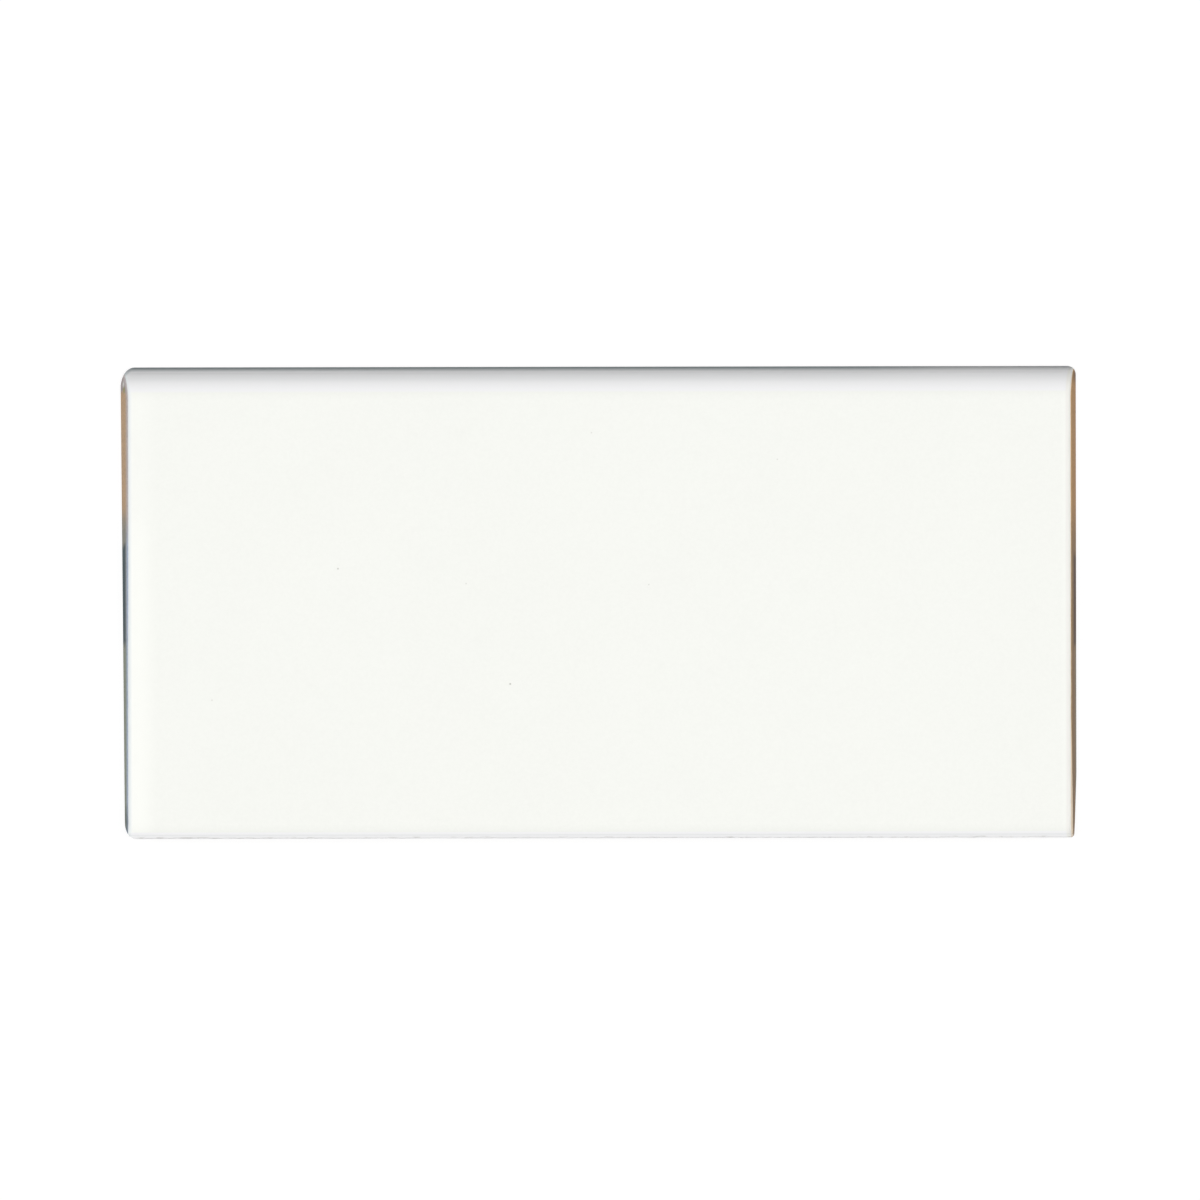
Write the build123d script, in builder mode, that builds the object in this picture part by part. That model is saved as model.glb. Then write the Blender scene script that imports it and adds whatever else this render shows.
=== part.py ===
"""A 3 x 6 inch glazed ceramic wall tile with one bullnose edge.

The tile lies on its ribbed back with the glazed face up. X runs along the bullnose, Y across the
tile towards the bullnose, and Z up from the back. The origin is the middle of the back.
All sizes are in millimetres.
"""

import os
from math import floor

from build123d import *

# Overall size, measured over the widest part of the pressed body
tile_length = 152.4
tile_width = 75.15
tile_thickness = 7.9

# Bullnose: a quarter round from the glazed face down to a short upright land
bullnose_radius = 5.6

# Ends: each slopes out from the edge of the glazed face to an upright land along the back
left_flare = 1.33
left_land = 3.5
right_flare = 0.95
right_land = 2.3

# Butt edge: the glazed face eases over in a shallow arc to the upright edge
butt_flare = 2.4
butt_drop = 0.64

# The glaze rounds off the edge between the face and each sloping end
glaze_edge_radius = 0.6

# Outline: the left end leans in towards the butt edge, and the right end tapers in next to it
left_lean = 0.65
right_taper = 0.4
right_taper_length = 10.0
bullnose_left_corner = 2.8
bullnose_right_corner = 1.45
butt_left_corner = 2.2
butt_right_corner = 0.6

# Ribbed back: round-ended grooves along the tile that key it to the mortar
groove_depth = 0.8
groove_width = 5.0
groove_draft = 30.0
rib_width = 3.0
back_margin = 7.0
back_chamfer = 0.3

# Places that follow from the sizes above
half_length = tile_length / 2
half_width = tile_width / 2
left_overhang = left_flare * left_land / (tile_thickness - left_land)
right_overhang = right_flare * right_land / (tile_thickness - right_land)
bullnose_start = half_width - bullnose_radius
bullnose_foot = tile_thickness - bullnose_radius
groove_pitch = groove_width + rib_width
groove_count = floor((tile_width - 2 * back_margin + rib_width) / groove_pitch)
groove_length = tile_length - 2 * back_margin


def corner(sketch, x_side, y_side):
    """The vertex of a sketch that is furthest out towards the given sides."""
    return sketch.vertices().sort_by(Axis((0, 0, 0), (x_side, y_side, 0)))[-1]


with BuildPart() as tile:
    # Cross-section: butt arc, glazed face and bullnose, drawn out along the tile
    with BuildSketch(Plane.YZ):
        with BuildLine():
            face = Line((bullnose_start, tile_thickness), (-half_width + butt_flare, tile_thickness))
            butt = TangentArc(face @ 1, (-half_width, tile_thickness - butt_drop), tangent=face % 1)
            body = Polyline(butt @ 1, (-half_width, 0), (half_width, 0), (half_width, bullnose_foot))
            RadiusArc(body @ 1, face @ 0, -bullnose_radius)
        make_face()
    extrude(amount=half_length + max(left_overhang, right_overhang), both=True)

    # Sloping ends, cut across the face and the bullnose, and on past the lands
    with BuildSketch(Plane.XZ):
        with BuildLine():
            Polyline(
                (-half_length - left_overhang, 0),
                (-half_length + left_flare, tile_thickness),
                (half_length - right_flare, tile_thickness),
                (half_length + right_overhang, 0),
                close=True,
            )
        make_face()
    extrude(amount=half_width, both=True, mode=Mode.INTERSECT)

    # Glaze edge at both ends of the face, which runs on over the butt arc and down the bullnose
    glazed_face = tile.faces().filter_by(Plane.XY).sort_by(Axis.Z)[-1]
    fillet(glazed_face.edges().filter_by(Axis.Y), glaze_edge_radius)

    # Outline in plan: a leaning left end, a tapered right end and four unlike corners
    with BuildSketch(Plane.XY) as outline:
        with BuildLine():
            Polyline(
                (-half_length, half_width),
                (half_length, half_width),
                (half_length, -half_width + right_taper_length),
                (half_length - right_taper, -half_width),
                (-half_length + left_lean, -half_width),
                close=True,
            )
        make_face()
        fillet(corner(outline, -1, 1), bullnose_left_corner)
        fillet(corner(outline, 1, 1), bullnose_right_corner)
        fillet(corner(outline, -1, -1), butt_left_corner)
        fillet(corner(outline, 1, -1), butt_right_corner)
    extrude(amount=tile_thickness, mode=Mode.INTERSECT)

    # Back: a broken edge all round, and the drafted grooves between the ribs
    back = tile.faces().sort_by(Axis.Z)[0]
    chamfer(back.edges(), back_chamfer)
    with BuildSketch(Plane.XY):
        with GridLocations(groove_length, groove_pitch, 1, groove_count):
            SlotOverall(groove_length, groove_width)
    extrude(amount=groove_depth, taper=groove_draft, mode=Mode.SUBTRACT)

tile.part.label = "bullnose_tile"

os.makedirs("parts", exist_ok=True)
export_step(tile.part, "parts/bullnose_tile.step")
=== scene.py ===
"""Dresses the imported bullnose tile: glaze, bare fired body, floor, light and camera."""

import math

import bmesh
import bpy
from bpy.props import FloatProperty, FloatVectorProperty, IntProperty, PointerProperty
from bpy.types import Operator, Panel, PropertyGroup
from mathutils import Matrix, Vector, noise


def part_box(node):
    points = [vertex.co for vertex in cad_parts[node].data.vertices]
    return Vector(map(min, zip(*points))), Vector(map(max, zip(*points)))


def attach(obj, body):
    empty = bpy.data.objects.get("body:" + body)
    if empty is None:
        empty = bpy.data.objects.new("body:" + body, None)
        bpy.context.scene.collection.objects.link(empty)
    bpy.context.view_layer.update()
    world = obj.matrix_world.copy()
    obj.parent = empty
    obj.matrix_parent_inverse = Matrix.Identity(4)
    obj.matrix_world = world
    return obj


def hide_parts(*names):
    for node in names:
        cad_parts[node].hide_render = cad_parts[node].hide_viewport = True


bl_info = {
    "name": "Bullnose Tile",
    "version": (1, 0, 0),
    "blender": (4, 5, 0),
    "location": "3D View > Sidebar > Tile",
    "description": "Models a glazed ceramic bullnose tile round its packed frame",
    "category": "Object",
}

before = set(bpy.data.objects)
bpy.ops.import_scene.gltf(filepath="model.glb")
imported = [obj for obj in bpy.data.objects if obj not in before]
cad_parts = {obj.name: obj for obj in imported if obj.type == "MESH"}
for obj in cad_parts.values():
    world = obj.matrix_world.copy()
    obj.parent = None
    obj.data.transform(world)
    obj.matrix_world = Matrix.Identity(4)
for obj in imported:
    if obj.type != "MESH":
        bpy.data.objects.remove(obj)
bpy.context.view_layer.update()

NODE = "bullnose_tile"
BODY = "root"
TILE_LOW, TILE_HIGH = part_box(NODE)

MM = 0.001
TOUCH = 1e-4 * MM
SLIVER = 2e-3 * MM
SHARP_ANGLE = math.radians(25)

# How far a face's direction has to lie along an axis to count as square on, upward, slanting or level
SQUARE_ON = 0.99
UPWARD = 0.7
ENDWISE = 0.5
SLANTING = 0.1
LEVEL = 0.01

# Pinholes in the glazed face: place along and across the tile, radius, and depth of tone
PINHOLES = (
    (-14.1, -13.0, 0.24, 0.9),
    (-41.5, 5.4, 0.22, 0.7),
    (-21.1, 3.0, 0.2, 0.35),
    (-1.1, 27.0, 0.2, 0.35),
    (28.5, 22.7, 0.2, 0.35),
    (8.0, 2.8, 0.2, 0.35),
    (-61.6, -15.5, 0.2, 0.35),
)

# Dark bars on the ends: where each starts and stops across the tile
LEFT_BAR = (-6.6 * MM, 9.3 * MM)
RIGHT_BAR = (-7.2 * MM, 7.6 * MM)
BAR_SOFTNESS = 0.8 * MM

# Fleck of stain, and a bead of glaze painted white as a glint, at the left bullnose corner: place and
# radius
FLECK = ((-75.58 * MM, 33.95 * MM, 5.55 * MM), 0.9 * MM)
GLINT_BEAD = ((-75.7 * MM, 34.85 * MM, 5.15 * MM), 0.8 * MM)

# Soft boxes of the studio: place, and length and width, in metres
OVERHEAD_BOX = ((0, 0, 1.2), (1.0, 0.5))
LEFT_BOX = ((-1.2, 0, 0.7), (0.6, 0.5))
RIGHT_BOX = ((1.2, 0, 0.7), (0.6, 0.5))

# Round floor a hair below the back, and how far the camera sees, in metres
FLOOR_RADIUS = 6.0
FLOOR_FACETS = 96
FLOOR_GAP = 0.02 * MM
CAMERA_REACH = 20.0


class TileSizes(PropertyGroup):
    """Sizes of the pressed and glazed tile."""

    length: FloatProperty(
        name="Length", description="Over both ends, along the bullnose",
        default=2 * TILE_HIGH.x, unit="LENGTH")
    width: FloatProperty(
        name="Width", description="From the butt edge to the bullnose",
        default=TILE_HIGH.y - TILE_LOW.y, unit="LENGTH")
    thickness: FloatProperty(
        name="Thickness", description="From the back to the glazed face",
        default=TILE_HIGH.z - TILE_LOW.z, unit="LENGTH")
    bullnose: FloatProperty(
        name="Bullnose radius", description="Quarter round along the far edge",
        default=5.6 * MM, unit="LENGTH")
    bullnose_facets: IntProperty(
        name="Bullnose facets", description="Flats that make up the quarter round",
        default=30, min=6)
    left_flare: FloatProperty(
        name="Left flare", description="How far the left end slopes out below the face",
        default=1.33 * MM, unit="LENGTH")
    left_land: FloatProperty(
        name="Left land", description="Height of the upright part of the left end",
        default=3.5 * MM, unit="LENGTH")
    right_flare: FloatProperty(
        name="Right flare", description="How far the right end slopes out below the face",
        default=0.95 * MM, unit="LENGTH")
    right_land: FloatProperty(
        name="Right land", description="Height of the upright part of the right end",
        default=2.3 * MM, unit="LENGTH")
    butt_flare: FloatProperty(
        name="Butt flare", description="Width of the shallow arc along the butt edge",
        default=2.4 * MM, unit="LENGTH")
    butt_drop: FloatProperty(
        name="Butt drop", description="Height of the shallow arc along the butt edge",
        default=0.64 * MM, unit="LENGTH")
    butt_facets: IntProperty(
        name="Butt facets", description="Flats that make up the shallow arc",
        default=10, min=3)
    butt_lip: FloatProperty(
        name="Butt lip", description="Rounding of the outer rim of the butt edge",
        default=0.1 * MM, unit="LENGTH")
    glaze_edge: FloatProperty(
        name="Glaze edge", description="Reach of the rounding where the glaze turns over the edge",
        default=0.55 * MM, unit="LENGTH")
    left_lean: FloatProperty(
        name="Left lean", description="How far the left end leans in at the butt edge",
        default=0.65 * MM, unit="LENGTH")
    right_taper: FloatVectorProperty(
        name="Right taper", description="Length and depth of the taper next to the right butt corner",
        size=2, default=(10 * MM, 0.4 * MM), unit="LENGTH")
    corner_facets: IntProperty(
        name="Corner facets", description="Flats that make up each corner of the outline",
        default=10, min=3)
    bullnose_left_corner: FloatVectorProperty(
        name="Left bullnose corner", description="Reach of the rounding along and across the tile",
        size=2, default=(2.3 * MM, 3.5 * MM), unit="LENGTH")
    bullnose_right_corner: FloatVectorProperty(
        name="Right bullnose corner", description="Reach of the rounding along and across the tile",
        size=2, default=(1.45 * MM, 1.45 * MM), unit="LENGTH")
    butt_left_corner: FloatVectorProperty(
        name="Left butt corner", description="Reach of the rounding along and across the tile",
        size=2, default=(1.75 * MM, 2.6 * MM), unit="LENGTH")
    butt_right_corner: FloatVectorProperty(
        name="Right butt corner", description="Reach of the rounding along and across the tile",
        size=2, default=(0.55 * MM, 0.75 * MM), unit="LENGTH")
    grid: FloatProperty(
        name="Grid", description="Spacing of the lines that carry the glaze's waviness",
        default=1.5 * MM, unit="LENGTH")
    wave_length: FloatProperty(
        name="Wave length", description="Distance between the slight waves in the glaze",
        default=9 * MM, unit="LENGTH")
    wave_height: FloatProperty(
        name="Wave height", description="Height of the slight waves in the glaze",
        default=0.012 * MM, unit="LENGTH")
    back_chamfer: FloatProperty(
        name="Back chamfer", description="Broken edge round the back",
        default=0.3 * MM, unit="LENGTH")
    groove_depth: FloatProperty(
        name="Groove depth", description="Depth of the key grooves in the back",
        default=0.8 * MM, unit="LENGTH")
    groove_width: FloatProperty(
        name="Groove width", description="Width of a key groove at the back",
        default=5.0 * MM, unit="LENGTH")
    groove_draft: FloatProperty(
        name="Groove draft", description="How far each side of a groove slopes in",
        default=0.46 * MM, unit="LENGTH")
    groove_facets: IntProperty(
        name="Groove facets", description="Flats that make up the two round ends of a groove",
        default=24, min=8)
    rib_width: FloatProperty(
        name="Rib width", description="Width of the ribs between the grooves",
        default=3.0 * MM, unit="LENGTH")
    back_margin: FloatProperty(
        name="Back margin", description="Flat border round the grooves",
        default=7.0 * MM, unit="LENGTH")


def colour(name, description, default):
    """A colour that a user can change."""
    return FloatVectorProperty(
        name=name, description=description, default=default, subtype="COLOR", min=0, max=1)


class TileFinish(PropertyGroup):
    """Colours of the glaze and the fired body."""

    glaze: colour("Glaze", "White glaze on the face", (0.925, 0.934, 0.89))
    # Painted light: a lighter, cooler copy of the glaze where the bullnose and the butt arc slope away
    painted_slope_light_glaze: colour("Sloped glaze", "Glaze on the bullnose and the butt arc", (0.93, 0.93, 0.935))
    # Painted light: a brighter copy of the glaze for lighter bands along the left and right edges, and for
    # the glint of the bead at the left bullnose corner
    painted_highlight_glaze: colour("Highlight glaze", "Glaze pooled along the left side", (0.962, 0.97, 0.925))
    cool_glaze: colour("Cool glaze", "Glaze that turns over the left end", (0.90, 0.935, 0.94))
    warm_glaze: colour("Warm glaze", "Glaze that turns over the right end", (0.885, 0.875, 0.835))
    # Painted shade: a dark, bluish copy of the glaze for the foot of the bullnose, its left corner and a
    # crease along the butt edge
    painted_shade_glaze: colour("Painted shade glaze", "Matt glaze at the foot of the bullnose", (0.38, 0.44, 0.46))
    bare: colour("Bare body", "Unglazed tan body", (0.70, 0.49, 0.31))
    mauve: colour("Mauve body", "Body at the bullnose corner of the left end", (0.52, 0.45, 0.44))
    # Dusky, olive, slate, brown and dark brown darken the ends towards the butt edge, in a bar in the
    # middle of each end and at the right end's bullnose corner
    dusk: colour("Dusky body", "Greyer body half way along the left end", (0.37, 0.36, 0.31))
    olive: colour("Olive tone", "Stain on the lower part of the left end", (0.35, 0.38, 0.305))
    slate: colour("Slate bar", "Dark bar in the middle of the left end", (0.078, 0.108, 0.118))
    lavender_film: colour("Lavender film", "Thin glaze on the tan left end", (0.68, 0.62, 0.62))
    # Blue film: thin glaze on the lower left end, painted darker and bluer as glaze in shade
    shaded_blue_film: colour("Blue film", "Thin glaze on the stained left end", (0.58, 0.68, 0.86))
    ochre: colour("Ochre body", "Body on the upper part of the right end", (0.56, 0.34, 0.18))
    brown: colour("Brown tone", "Stain on the lower part of the right end", (0.31, 0.213, 0.136))
    dark_brown: colour("Dark brown bar", "Dark bar in the middle of the right end", (0.116, 0.078, 0.058))
    amber_film: colour("Amber film", "Thin glaze on the right end", (0.86, 0.54, 0.19))
    fleck: colour("Fleck", "Olive fleck at the left bullnose corner", (0.45, 0.42, 0.15))


class StageSetup(PropertyGroup):
    """Camera, light and floor."""

    frame_width: FloatProperty(
        name="Frame width", description="Width that the picture takes in",
        default=191.09 * MM, unit="LENGTH")
    lens: FloatProperty(name="Lens", description="Focal length in millimetres", default=500.0)
    look_at: FloatVectorProperty(
        name="Look at", description="Middle of the picture on the tile",
        size=2, default=(0.221 * MM, 0.348 * MM), unit="LENGTH")
    roll: FloatProperty(
        name="Roll", description="How far the tile is turned in the picture",
        default=math.radians(0.1), unit="ROTATION")
    overhead: FloatProperty(
        name="Overhead", description="Power of the overhead soft box", default=9.75, unit="POWER")
    side: FloatProperty(
        name="Side", description="Power of each side soft box", default=7.23, unit="POWER")
    fill: FloatProperty(
        name="Fill", description="Strength of the light from all round", default=0.05)
    floor_grey: FloatProperty(
        name="Floor grey", description="How much light the floor takes and gives back", default=0.14)
    floor_glow: FloatProperty(
        name="Floor glow", description="White that the floor shows by itself", default=0.9)


def carve(mesh, point, normal):
    """Cuts away what lies beyond a plane and closes the cut with one flat."""
    point, normal = Vector(point), Vector(normal).normalized()
    if max((v.co - point).dot(normal) for v in mesh.verts) < TOUCH:
        return
    geom = mesh.verts[:] + mesh.edges[:] + mesh.faces[:]
    cut = bmesh.ops.bisect_plane(
        mesh, geom=geom, dist=TOUCH, plane_co=point, plane_no=normal, clear_outer=True)
    bmesh.ops.contextual_create(
        mesh, geom=[e for e in cut["geom_cut"] if isinstance(e, bmesh.types.BMEdge)])


def score(mesh, point, normal):
    """Adds a line of edges where a plane crosses the surface."""
    geom = mesh.verts[:] + mesh.edges[:] + mesh.faces[:]
    bmesh.ops.bisect_plane(mesh, geom=geom, dist=TOUCH, plane_co=point, plane_no=normal)


def round_edges(mesh, edges, reach, segments):
    """Rounds over the given edges."""
    bmesh.ops.bevel(
        mesh, geom=edges, offset=reach, offset_type="OFFSET", segments=segments, profile=0.5,
        affect="EDGES", material=-1)


def shaped_block(sizes):
    """The face, its sloping ends, its butt arc and its bullnose, cut from one block."""
    mesh = bmesh.new()
    half_x, half_y, top = sizes.length / 2, sizes.width / 2, sizes.thickness
    place = Matrix.Translation((0, 0, top / 2))
    bmesh.ops.create_cube(
        mesh, size=1.0, matrix=place @ Matrix.Diagonal((2 * half_x, 2 * half_y, top, 1)))

    carve(mesh, (-half_x, 0, sizes.left_land), (sizes.left_land - top, 0, sizes.left_flare))
    carve(mesh, (half_x, 0, sizes.right_land), (top - sizes.right_land, 0, sizes.right_flare))
    radius = butt_radius(sizes)
    sweep = -math.asin(sizes.butt_flare / radius)
    carve_arc(mesh, sizes.butt_flare - half_y, top, radius, sweep, sizes.butt_facets)
    carve_arc(mesh, half_y - sizes.bullnose, top, sizes.bullnose, math.pi / 2, sizes.bullnose_facets)
    bmesh.ops.recalc_face_normals(mesh, faces=mesh.faces)

    round_edges(mesh, [e for e in mesh.edges if is_butt_rim(e)], sizes.butt_lip, 3)
    round_edges(mesh, [e for e in mesh.edges if is_glaze_edge(e)], sizes.glaze_edge, 6)
    return mesh


def butt_radius(sizes):
    """Radius of the arc that leaves the face level and drops to the butt edge."""
    return (sizes.butt_flare ** 2 + sizes.butt_drop ** 2) / (2 * sizes.butt_drop)


def carve_arc(mesh, y, top, radius, sweep, facets):
    """Cuts a round along the tile, from level at the given y to the end of the sweep."""
    axis = Vector((0, y, top - radius))
    for i in range(facets):
        turn = (i + 0.5) / facets * sweep
        outward = Vector((0, math.sin(turn), math.cos(turn)))
        carve(mesh, axis + outward * radius, outward)


def is_butt_rim(edge):
    """True where the butt arc meets the upright butt edge."""
    wall, slope = sorted((f.normal for f in edge.link_faces), key=lambda n: n.y)
    return wall.y < -SQUARE_ON and slope.y < -SLANTING and slope.z > SLANTING


def is_glaze_edge(edge):
    """True where the glazed face, arc or bullnose meets a sloping end."""
    normals = [f.normal for f in edge.link_faces]
    ends = [n for n in normals if abs(n.x) > ENDWISE and n.z > SLANTING]
    glazed = [n for n in normals if abs(n.x) < LEVEL and n.z > LEVEL]
    return len(ends) == 1 and len(glazed) == 1


def outline_planes(sizes):
    """Points and outward directions of the upright planes that make up the tile's outline."""
    half_x, half_y = sizes.length / 2, sizes.width / 2
    taper_length, taper_depth = sizes.right_taper
    planes = [
        (Vector((-half_x, half_y, 0)), Vector((-2 * half_y, -sizes.left_lean, 0))),
        (Vector((half_x, 0, 0)), Vector((1, 0, 0))),
        (Vector((half_x, taper_length - half_y, 0)), Vector((taper_length, -taper_depth, 0))),
        (Vector((0, half_y, 0)), Vector((0, 1, 0))),
        (Vector((0, -half_y, 0)), Vector((0, -1, 0))),
    ]
    corners = (
        (-half_x, half_y, sizes.bullnose_left_corner),
        (half_x, half_y, sizes.bullnose_right_corner),
        (-half_x + sizes.left_lean, -half_y, sizes.butt_left_corner),
        (half_x - taper_depth, -half_y, sizes.butt_right_corner),
    )
    for x, y, (reach_x, reach_y) in corners:
        side_x, side_y = math.copysign(1, x), math.copysign(1, y)
        for i in range(sizes.corner_facets):
            turn = (i + 0.5) / sizes.corner_facets * math.pi / 2
            point = (x + side_x * reach_x * (math.cos(turn) - 1),
                     y + side_y * reach_y * (math.sin(turn) - 1), 0)
            outward = (side_x * math.cos(turn) * reach_y, side_y * math.sin(turn) * reach_x, 0)
            planes.append((Vector(point), Vector(outward)))
    return planes


def trim_outline(mesh, sizes):
    """Cuts the tile's outline with its four unlike corners, and breaks the edge of the back."""
    for point, outward in outline_planes(sizes):
        outward = outward.normalized()
        carve(mesh, point, outward)
        low = point - outward * sizes.back_chamfer
        carve(mesh, low, outward + Vector((0, 0, -1)))


def add_grid(mesh, sizes):
    """Scores the tile both ways, with one more line next to each rounded glaze edge."""
    half_x, half_y = sizes.length / 2, sizes.width / 2
    rounding = 2 * sizes.glaze_edge
    lengthwise = round(sizes.length / sizes.grid)
    crosswise = round(sizes.width / sizes.grid)
    xs = [-half_x + i * sizes.length / lengthwise for i in range(1, lengthwise)]
    ys = [-half_y + i * sizes.width / crosswise for i in range(1, crosswise)]
    xs += [-half_x + sizes.left_flare + rounding, half_x - sizes.right_flare - rounding]
    for x in xs:
        score(mesh, (x, 0, 0), (1, 0, 0))
    for y in ys:
        score(mesh, (0, y, 0), (0, 1, 0))
    bmesh.ops.dissolve_degenerate(mesh, dist=SLIVER, edges=mesh.edges)


def add_ribbed_back(mesh, sizes):
    """Puts a back with round-ended key grooves in place of the plain one."""
    back = [f for f in mesh.faces if f.normal.z < -SQUARE_ON]
    bmesh.ops.delete(mesh, geom=back, context="FACES")
    rim = [e for e in mesh.edges if e.is_boundary]

    pitch = sizes.groove_width + sizes.rib_width
    count = math.floor((sizes.width - 2 * sizes.back_margin + sizes.rib_width) / pitch)
    reach = sizes.length / 2 - sizes.back_margin - sizes.groove_width / 2
    grooves = []
    for i in range(count):
        made = bmesh.ops.create_circle(
            mesh, segments=sizes.groove_facets, radius=sizes.groove_width / 2)
        loop = made["verts"]
        for end in (-1, 1):
            half = [v for v in loop if v.co.x * end > TOUCH]
            bmesh.ops.translate(mesh, verts=half, vec=(end * reach, 0, 0))
        middle = [v for v in loop if abs(v.co.x) <= TOUCH]
        bmesh.ops.translate(mesh, verts=middle, vec=(reach, 0, 0))
        bmesh.ops.translate(mesh, verts=loop, vec=(0, (i - (count - 1) / 2) * pitch, 0))
        edges = list({e for v in loop for e in v.link_edges})
        grooves.append((loop, edges))
    outlines = rim + [e for _, edges in grooves for e in edges]
    bmesh.ops.triangle_fill(mesh, use_beauty=True, edges=outlines, normal=(0, 0, -1))

    for loop, edges in grooves:
        raised = bmesh.ops.extrude_edge_only(mesh, edges=edges)["geom"]
        floor = [g for g in raised if isinstance(g, bmesh.types.BMVert)]
        centre = sum((v.co for v in floor), Vector()) / len(floor)
        for v in floor:
            end = math.copysign(reach, v.co.x)
            inward = Vector((end, centre.y, 0)) - v.co
            v.co += inward.normalized() * sizes.groove_draft
        bmesh.ops.translate(mesh, verts=floor, vec=(0, 0, sizes.groove_depth))
        bmesh.ops.contextual_create(
            mesh, geom=[g for g in raised if isinstance(g, bmesh.types.BMEdge)])
    bmesh.ops.recalc_face_normals(mesh, faces=mesh.faces)


def add_waves(mesh, sizes):
    """Gives the glazed top its slight waves, and smooths all but the sharp edges."""
    mesh.normal_update()
    glazed = [(v, v.normal.copy()) for v in mesh.verts if v.normal.z > UPWARD]
    for v, outward in glazed:
        v.co += outward * noise.noise(v.co / sizes.wave_length) * sizes.wave_height
    for f in mesh.faces:
        f.smooth = True
    for e in mesh.edges:
        e.smooth = e.calc_face_angle(0) < SHARP_ANGLE


def node(tree, kind, inputs=(), **settings):
    """Adds a shader node, sets its options and feeds its inputs by name or number."""
    made = tree.nodes.new(kind)
    for name, value in settings.items():
        setattr(made, name, value)
    for key, value in dict(inputs).items():
        if isinstance(value, bpy.types.NodeSocket):
            tree.links.new(value, made.inputs[key])
        else:
            made.inputs[key].default_value = value
    return made


class Shading:
    """One material, with short names for the shader nodes that it is made of."""

    def __init__(self, name):
        self.material = bpy.data.materials.new(name)
        self.material.use_nodes = True
        self.tree = self.material.node_tree
        self.tree.nodes.clear()
        self.place = node(self.tree, "ShaderNodeTexCoord").outputs["Object"]
        self.x, self.y, self.z = node(self.tree, "ShaderNodeSeparateXYZ", {0: self.place}).outputs

    def calc(self, operation, *values):
        """One step of arithmetic on numbers or sockets."""
        return node(self.tree, "ShaderNodeMath", enumerate(values), operation=operation).outputs[0]

    def both(self, first, second):
        """The product of two factors."""
        return self.calc("MULTIPLY", first, second)

    def fade(self, value, low, high, start=0.0, end=1.0):
        """Goes smoothly from start to end while value goes from low to high."""
        inputs = {"Value": value, "From Min": low, "From Max": high, "To Min": start, "To Max": end}
        made = node(self.tree, "ShaderNodeMapRange", inputs, interpolation_type="SMOOTHSTEP")
        return made.outputs[0]

    def within(self, value, low, high, soft):
        """One between low and high, with soft ends."""
        return self.both(
            self.fade(value, low - soft, low + soft), self.fade(value, high + soft, high - soft))

    def mix(self, factor, first, second, blend_type="MIX"):
        """One colour over another."""
        inputs = {0: factor, 6: self.rgba(first), 7: self.rgba(second)}
        made = node(self.tree, "ShaderNodeMix", inputs, data_type="RGBA", blend_type=blend_type)
        return made.outputs[2]

    def grey(self, factor, dark):
        """A grey that goes from dark to white as the factor rises."""
        return self.mix(factor, (dark,) * 3, (1.0,) * 3)

    @staticmethod
    def rgba(value):
        """A colour with full cover, or a socket as it is."""
        return value if isinstance(value, bpy.types.NodeSocket) else (*value, 1)

    def cloud(self, size, detail=2.0, stretch=(1, 1, 1)):
        """Soft random spots of about the given size, stretched along the axes."""
        scale = {0: self.place, 1: [1 / (size * s) for s in stretch]}
        scaled = node(self.tree, "ShaderNodeVectorMath", scale, operation="MULTIPLY").outputs[0]
        inputs = {"Vector": scaled, "Scale": 1.0, "Detail": detail}
        return node(self.tree, "ShaderNodeTexNoise", inputs).outputs["Fac"]

    def wobble(self, size, reach, detail=2.0):
        """A random shift of up to about reach either way."""
        return self.calc("MULTIPLY_ADD", self.cloud(size, detail), 4 * reach, -2 * reach)

    def spot(self, centre, radius):
        """One at the centre of a small ball, fading to nothing at its rim."""
        points = {0: self.place, 1: centre}
        away = node(self.tree, "ShaderNodeVectorMath", points, operation="DISTANCE").outputs["Value"]
        return self.fade(away, radius, 0)


def painted_edge_shade(s, sizes, turn):
    """Where shade is painted on the glaze: down to the foot of the bullnose, and round its left corner."""
    half_x, half_y = sizes.length / 2, sizes.width / 2
    foot = s.calc("ADD", s.fade(turn, 0.5, 0.7, 0, 0.09), s.fade(turn, 0.85, 1, 0, 0.95))
    foot = s.both(foot, s.fade(s.x, 38 * MM, 62 * MM, 1, 0.3))

    # How far round the oval corner, with one at its rim
    reach_x, reach_y = sizes.bullnose_left_corner
    past_x = s.fade(s.x, reach_x - half_x, -half_x)
    round_x = s.calc("MULTIPLY_ADD", s.x, -1 / reach_x, 1 - half_x / reach_x)
    round_y = s.calc("MULTIPLY_ADD", s.y, 1 / reach_y, 1 - half_y / reach_y)
    rim = s.calc("ADD", s.both(round_x, round_x), s.both(round_y, round_y))
    at_corner = s.both(s.fade(past_x, 0, 0.1), s.fade(round_y, 0.2, 0.4))
    rim = s.both(s.fade(rim, 0.55, 0.95, 0, 0.75), at_corner)
    return s.calc("MAXIMUM", foot, rim)


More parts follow.
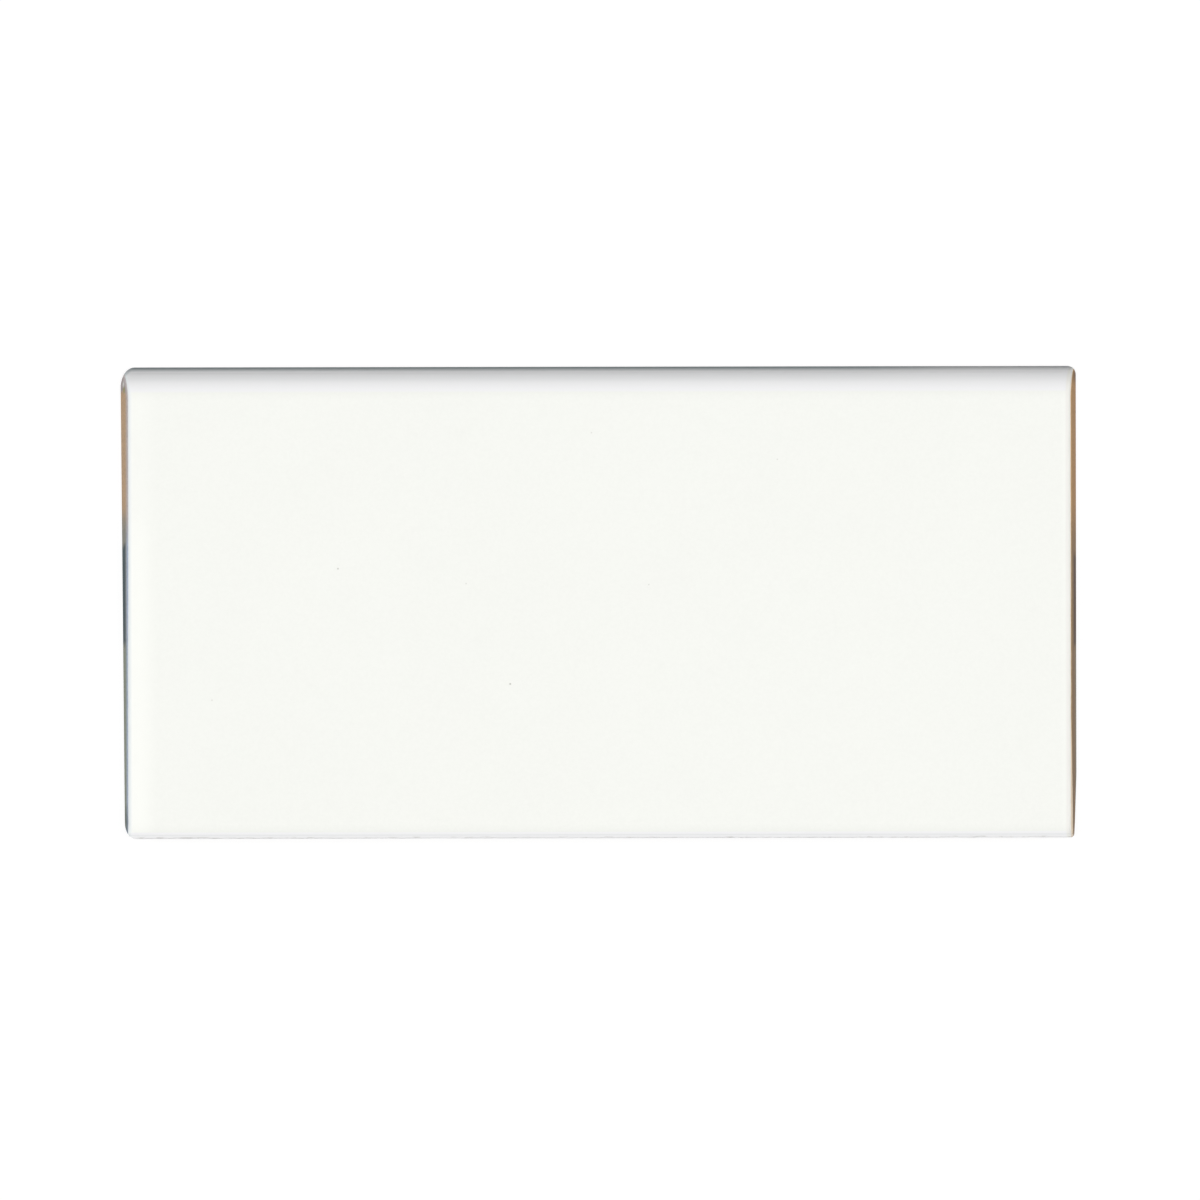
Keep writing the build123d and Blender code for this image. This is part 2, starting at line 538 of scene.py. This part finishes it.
def glaze_colour(s, sizes, finish, turn, out_left, out_right):
    """White glaze: mottled, cool to the left, warm to the right, with painted light on the slopes and along
    the side edges, painted shade at the foot of the bullnose, and pinholes.
    """
    from_butt = s.calc("ADD", s.y, sizes.width / 2)

    speckle = s.grey(s.fade(s.cloud(0.45 * MM, 3.0), 0.3, 0.7), 0.985)
    drift = s.grey(s.fade(s.cloud(18 * MM), 0.35, 0.65), 0.995)
    glaze = s.mix(1.0, finish.glaze, s.mix(1.0, speckle, drift, "MULTIPLY"), "MULTIPLY")
    # Painted light: lighter bands of glaze along the left edge, full towards the butt edge and half near
    # the bullnose, and fainter along the right edge
    brightened = s.both(s.fade(out_left, -5 * MM, -1.6 * MM), s.fade(s.y, 16 * MM, 8 * MM, 0.5, 1))
    glaze = s.mix(brightened, glaze, finish.painted_highlight_glaze)
    glaze = s.mix(s.fade(out_right, -1.8 * MM, -0.8 * MM, 0, 0.4), glaze, finish.painted_highlight_glaze)
    # Painted light: the sloping bullnose and butt arc take a lighter, cooler copy of the glaze
    painted_slope_light = s.calc("MAXIMUM", s.fade(turn, 0.24, 0.33), s.fade(from_butt, 1.1 * MM, 0.9 * MM))
    glaze = s.mix(painted_slope_light, glaze, finish.painted_slope_light_glaze)
    glaze = s.mix(s.fade(out_left, -0.7 * MM, -0.1 * MM), glaze, finish.cool_glaze)
    glaze = s.mix(s.fade(out_right, -1.05 * MM, -0.6 * MM), glaze, finish.warm_glaze)
    glaze = s.mix(s.fade(out_right, -0.2 * MM, 0.1 * MM, 0, 0.75), glaze, finish.amber_film)
    # Painted shade at the foot of the bullnose and round its left corner
    glaze = s.mix(painted_edge_shade(s, sizes, turn), glaze, finish.painted_shade_glaze)

    # Dark dashes where the glaze breaks along the butt edge, most near the ends, partly the break and
    # partly painted shade in it, and a faint line of painted shade along a shallow crease
    gathered = s.fade(s.calc("ABSOLUTE", s.x), 35 * MM, 60 * MM, 0, 0.04)
    broken = s.fade(s.calc("ADD", s.cloud(0.9 * MM, 3.0, (1.6, 0.3, 0.3)), gathered), 0.55, 0.66)
    dashes = s.both(broken, s.fade(from_butt, 0.36 * MM, 0.2 * MM, 0, 0.3))
    glaze = s.mix(dashes, glaze, finish.dusk)
    line = s.both(s.within(from_butt, 0.44 * MM, 0.64 * MM, 0.1 * MM), 0.14)
    glaze = s.mix(line, glaze, finish.painted_shade_glaze)

    for x, y, radius, depth in PINHOLES:
        hole = s.spot((x * MM, y * MM, sizes.thickness), radius * MM)
        glaze = s.mix(s.both(hole, depth), glaze, finish.dusk)
    return glaze


def left_end_colour(s, finish, along, out):
    """Tan body that greys towards the butt edge, with a dark bar, a thin film of glaze that lower down is
    painted darker and bluer as glaze in shade, and a bead of glaze painted as a glint.
    """
    body = s.mix(s.fade(along, 16 * MM, 11 * MM), finish.bare, finish.dusk)
    body = s.mix(s.fade(along, -5 * MM, -9 * MM), body, finish.olive)
    bar = s.both(s.within(along, *LEFT_BAR, BAR_SOFTNESS), s.fade(out, 0.35 * MM, 0.6 * MM))
    body = s.mix(bar, body, finish.slate)
    nose = s.both(s.fade(along, 33.2 * MM, 33.8 * MM), s.fade(s.z, 2.2 * MM, 3.4 * MM))
    body = s.mix(nose, body, finish.mauve)
    # Thin glaze along the inner edge of the left end: lavender on the tan part, and lower down darker and
    # bluer as painted shade
    film = s.mix(s.fade(along, 14 * MM, 8 * MM), finish.lavender_film, finish.shaded_blue_film)
    body = s.mix(s.fade(out, 0.6 * MM, 0.1 * MM), body, film)
    body = s.mix(s.fade(along, -31 * MM, -34.5 * MM, 0, 0.5), body, finish.slate)
    body = s.mix(s.spot(*FLECK), body, finish.fleck)
    # A bead of glaze at the left bullnose corner, painted white as a glint
    return s.mix(s.spot(*GLINT_BEAD), body, finish.painted_highlight_glaze)


def right_end_colour(s, finish, along, out):
    """Ochre body that browns towards the butt edge, with a dark bar and a thin film of glaze."""
    body = s.mix(s.fade(along, 17 * MM, 7 * MM), finish.ochre, finish.brown)
    bar = s.both(s.within(along, *RIGHT_BAR, BAR_SOFTNESS), s.fade(out, 0.4 * MM, 0.55 * MM))
    body = s.mix(bar, body, finish.dark_brown)
    body = s.mix(s.fade(along, 34.6 * MM, 36 * MM, 0, 0.7), body, finish.dark_brown)
    greyer_outside = s.both(s.fade(along, -4 * MM, -10 * MM), s.fade(out, 0.55 * MM, 0.9 * MM, 0, 0.6))
    body = s.mix(greyer_outside, body, finish.dusk)
    return s.mix(s.fade(out, 0.35 * MM, 0, 0, 0.3), body, finish.amber_film)


def arc_drop(s, past, radius):
    """How far an arc has dropped at a distance past its level start."""
    inside = s.calc("SUBTRACT", radius * radius, s.both(past, past))
    return s.calc("SUBTRACT", radius, s.calc("SQRT", s.calc("MAXIMUM", inside, 0)))


def glaze_limit(s, at_end):
    """Depth that the glaze reaches: straight along the ends, ragged along the long edges."""
    side_limit = s.fade(s.y, -1 * MM, 1 * MM, 0.35 * MM, 1.0 * MM)
    ragged = s.calc("ADD", side_limit, s.wobble(1.2 * MM, 0.2 * MM, 4.0))
    ragged = s.calc("MAXIMUM", ragged, 0.25 * MM)
    run_left = s.fade(s.y, 10 * MM, -10 * MM, 0.14 * MM, 0.4 * MM)
    run_left = s.both(run_left, s.fade(s.x, 1 * MM, -1 * MM))
    run_right = s.fade(s.y, -16 * MM, -37 * MM, 0.22 * MM, 1.48 * MM)
    run_right = s.both(run_right, s.fade(s.x, -1 * MM, 1 * MM))
    straight = s.calc("ADD", s.calc("ADD", run_left, run_right), s.wobble(2 * MM, 0.05 * MM))
    return s.calc("ADD", s.both(at_end, s.calc("SUBTRACT", straight, ragged)), ragged)


def tile_material(sizes, finish):
    """White glaze over a tan fired body, with a ragged glaze line, ends that darken towards the butt edge,
    and painted light and shade on the glaze.
    """
    s = Shading("glazed_ceramic")
    half_x, half_y, radius = sizes.length / 2, sizes.width / 2, sizes.bullnose

    # How far out a point is on the bullnose or the butt arc, and how deep below the glazed skin
    on_nose = s.calc("MAXIMUM", s.calc("SUBTRACT", s.y, half_y - radius), 0)
    on_butt = s.calc("MAXIMUM", s.calc("SUBTRACT", sizes.butt_flare - half_y, s.y), 0)
    turn = s.calc("DIVIDE", on_nose, radius)
    drop = s.calc("ADD", arc_drop(s, on_nose, radius), arc_drop(s, on_butt, butt_radius(sizes)))
    depth = s.calc("SUBTRACT", s.calc("SUBTRACT", sizes.thickness, drop), s.z)

    # How far out past the edge of the glazed skin, which moves out at the ends as the skin drops
    left_rake = sizes.left_flare / (sizes.thickness - sizes.left_land)
    right_rake = sizes.right_flare / (sizes.thickness - sizes.right_land)
    left_edge = s.calc("MULTIPLY_ADD", drop, -left_rake, sizes.left_flare - half_x)
    right_edge = s.calc("MULTIPLY_ADD", drop, right_rake, half_x - sizes.right_flare)
    out_left = s.calc("SUBTRACT", left_edge, s.x)
    out_right = s.calc("SUBTRACT", s.x, right_edge)

    # The glaze ends at a line below its edge, and the bare body shows from there on
    at_end = s.fade(s.calc("MAXIMUM", out_left, out_right), -0.1 * MM, 0.05 * MM)
    limit = glaze_limit(s, at_end)
    bare = s.fade(s.calc("SUBTRACT", depth, limit), -0.08 * MM, 0.08 * MM)

    along = s.calc("ADD", s.y, s.wobble(3 * MM, 0.6 * MM))
    left = left_end_colour(s, finish, along, out_left)
    right = right_end_colour(s, finish, along, out_right)
    ends = s.mix(s.fade(s.x, -1 * MM, 1 * MM), left, right)
    grain = s.cloud(0.4 * MM, 5.0)
    body = s.mix(at_end, finish.bare, ends)
    body = s.mix(1.0, body, s.grey(s.fade(grain, 0.3, 0.7), 0.82), "MULTIPLY")

    glaze = glaze_colour(s, sizes, finish, turn, out_left, out_right)
    matt = s.calc("MAXIMUM", s.both(bare, 0.85), s.fade(turn, 0.8, 0.97, 0.2, 0.8))
    bumps = s.both(grain, s.fade(bare, 0, 1, 0.04, 1))
    bump = node(s.tree, "ShaderNodeBump", {"Height": bumps, "Distance": 0.06 * MM})
    surface = node(s.tree, "ShaderNodeBsdfPrincipled", {
        "Base Color": s.mix(bare, glaze, body), "Roughness": matt, "Normal": bump.outputs[0]})
    node(s.tree, "ShaderNodeOutputMaterial", {"Surface": surface.outputs[0]})
    return s.material


class TILE_OT_make_tile(Operator):
    """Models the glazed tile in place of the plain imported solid"""

    bl_idname = "tile.make_tile"
    bl_label = "Make Tile"

    def execute(self, context):
        sizes = context.scene.tile_sizes
        mesh = shaped_block(sizes)
        trim_outline(mesh, sizes)
        add_grid(mesh, sizes)
        add_ribbed_back(mesh, sizes)
        add_waves(mesh, sizes)
        data = bpy.data.meshes.new("glazed_tile")
        mesh.to_mesh(data)
        mesh.free()
        data.materials.append(tile_material(sizes, context.scene.tile_finish))
        piece = bpy.data.objects.new("glazed_tile", data)
        context.scene.collection.objects.link(piece)
        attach(piece, BODY)
        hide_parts(NODE)
        return {"FINISHED"}


def shown_white(tree, seen_strength, lit_strength):
    """One strength for the eye, for gloss and for glass, and another for the light that it sheds."""
    path = node(tree, "ShaderNodeLightPath").outputs
    seen = path["Is Camera Ray"]
    for ray in ("Is Glossy Ray", "Is Transmission Ray"):
        seen = node(tree, "ShaderNodeMath", {0: seen, 1: path[ray]}, operation="MAXIMUM").outputs[0]
    inputs = {0: seen, 1: seen_strength - lit_strength, 2: lit_strength}
    return node(tree, "ShaderNodeMath", inputs, operation="MULTIPLY_ADD").outputs[0]


def lay_floor(scene, stage):
    """A wide white floor that keeps a faint shadow."""
    mesh = bmesh.new()
    bmesh.ops.create_circle(mesh, cap_ends=True, segments=FLOOR_FACETS, radius=FLOOR_RADIUS)
    data = bpy.data.meshes.new("floor")
    mesh.to_mesh(data)
    mesh.free()
    floor = bpy.data.objects.new("floor", data)
    floor.location.z = -FLOOR_GAP
    scene.collection.objects.link(floor)
    material = bpy.data.materials.new("white_floor")
    material.use_nodes = True
    tree = material.node_tree
    tree.nodes.clear()
    matt = node(tree, "ShaderNodeBsdfDiffuse", {"Color": (*(stage.floor_grey,) * 3, 1)})
    glow = node(tree, "ShaderNodeEmission", {"Strength": shown_white(tree, stage.floor_glow, 0)})
    both = node(tree, "ShaderNodeAddShader", {0: matt.outputs[0], 1: glow.outputs[0]})
    node(tree, "ShaderNodeOutputMaterial", {"Surface": both.outputs[0]})
    data.materials.append(material)


def light_studio(scene, stage):
    """White all round, an overhead soft box, and one more beyond each end of the tile."""
    world = bpy.data.worlds.new("studio")
    world.use_nodes = True
    tree = world.node_tree
    tree.nodes.clear()
    white = {"Color": (1, 1, 1, 1), "Strength": shown_white(tree, 1.0, stage.fill)}
    sky = node(tree, "ShaderNodeBackground", white)
    node(tree, "ShaderNodeOutputWorld", {"Surface": sky.outputs[0]})
    scene.world = world

    soft_box(scene, "overhead", *OVERHEAD_BOX, stage.overhead)
    soft_box(scene, "left_side", *LEFT_BOX, stage.side)
    soft_box(scene, "right_side", *RIGHT_BOX, stage.side)


def soft_box(scene, name, place, size, power):
    """A rectangular lamp that points at the tile and keeps out of its gloss."""
    lamp = bpy.data.lights.new(name, "AREA")
    lamp.shape = "RECTANGLE"
    lamp.size, lamp.size_y = size
    lamp.energy = power
    lamp.cycles.use_multiple_importance_sampling = False
    box = bpy.data.objects.new(name, lamp)
    box.location = place
    box.rotation_euler = Vector(place).to_track_quat("Z", "Y").to_euler()
    box.visible_camera = False
    box.visible_glossy = False
    scene.collection.objects.link(box)


def set_camera(scene, stage):
    """Looks straight down on the tile from far off, as through a long lens."""
    lens = bpy.data.cameras.new("camera")
    lens.lens = stage.lens
    lens.clip_end = CAMERA_REACH
    camera = bpy.data.objects.new("camera", lens)
    distance = stage.frame_width * stage.lens / lens.sensor_width
    camera.location = (*stage.look_at, scene.tile_sizes.thickness + distance)
    camera.rotation_euler = (0, 0, -stage.roll)
    scene.collection.objects.link(camera)
    scene.camera = camera


class TILE_OT_set_stage(Operator):
    """Lays the floor and sets the light and the camera"""

    bl_idname = "tile.set_stage"
    bl_label = "Set Stage"

    def execute(self, context):
        scene, stage = context.scene, context.scene.tile_stage
        scene.view_settings.view_transform = "Standard"
        lay_floor(scene, stage)
        light_studio(scene, stage)
        set_camera(scene, stage)
        return {"FINISHED"}


class TILE_PT_sidebar(Panel):
    """Sizes, finish and stage of the tile"""

    bl_label = "Bullnose Tile"
    bl_space_type = "VIEW_3D"
    bl_region_type = "UI"
    bl_category = "Tile"

    def draw(self, context):
        scene = context.scene
        for group in (scene.tile_sizes, scene.tile_finish, scene.tile_stage):
            box = self.layout.box()
            for name in group.__annotations__:
                box.prop(group, name)
        self.layout.operator(TILE_OT_make_tile.bl_idname)
        self.layout.operator(TILE_OT_set_stage.bl_idname)


CLASSES = (
    TileSizes, TileFinish, StageSetup, TILE_OT_make_tile, TILE_OT_set_stage, TILE_PT_sidebar)


def register():
    for cls in CLASSES:
        bpy.utils.register_class(cls)
    bpy.types.Scene.tile_sizes = PointerProperty(type=TileSizes)
    bpy.types.Scene.tile_finish = PointerProperty(type=TileFinish)
    bpy.types.Scene.tile_stage = PointerProperty(type=StageSetup)


def unregister():
    del bpy.types.Scene.tile_stage
    del bpy.types.Scene.tile_finish
    del bpy.types.Scene.tile_sizes
    for cls in reversed(CLASSES):
        bpy.utils.unregister_class(cls)


def main():
    register()
    bpy.ops.tile.make_tile()
    bpy.ops.tile.set_stage()


if __name__ == "__main__":
    main()
